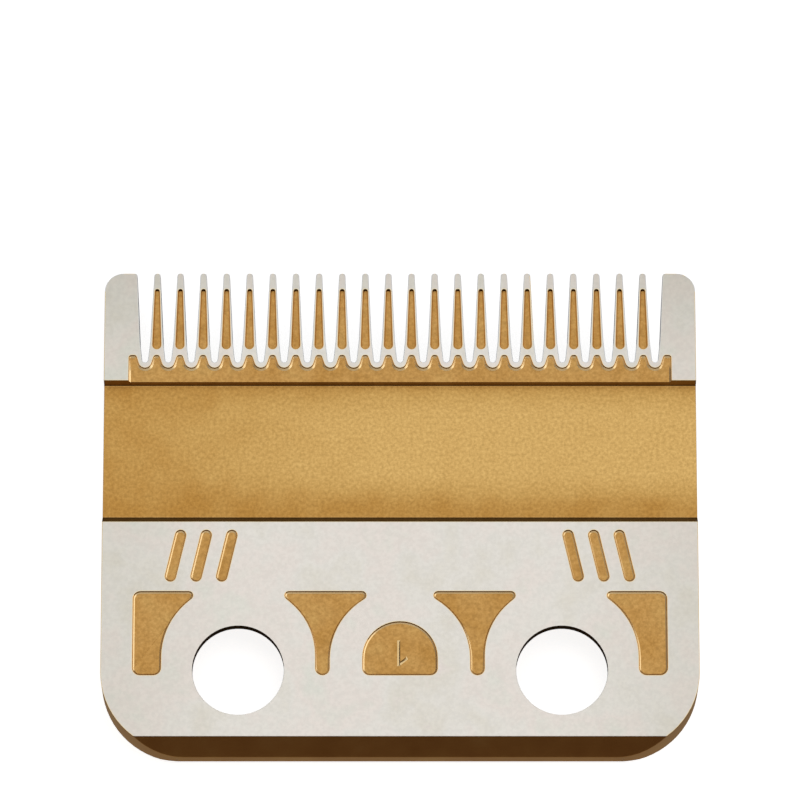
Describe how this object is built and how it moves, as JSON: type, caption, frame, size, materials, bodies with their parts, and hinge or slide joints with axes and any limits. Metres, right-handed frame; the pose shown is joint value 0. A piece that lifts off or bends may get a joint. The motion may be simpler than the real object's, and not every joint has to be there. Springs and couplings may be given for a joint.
{
  "type": "hair clipper fixed blade",
  "caption": "Flat toothed steel comb blade with a cross channel for a moving blade, sunk pockets in its ground rear land and screw holes that clamp it to a clipper.",
  "frame": {"origin": "centre of the bounding box in plan, at the flat skin side on which the blade lies", "axes": "+X across the blade along the row of teeth, +Y from the rear edge to the tooth tips, +Z from the skin side up to the lapped face"},
  "size_m": [0.047, 0.0392, 0.0035],
  "materials": {
    "blade_steel": "ground bright on the lapped face, matt gold coating everywhere else"
  },
  "bodies": {
    "root": {"fixed_blade": "blade_steel"}
  },
  "joints": []
}
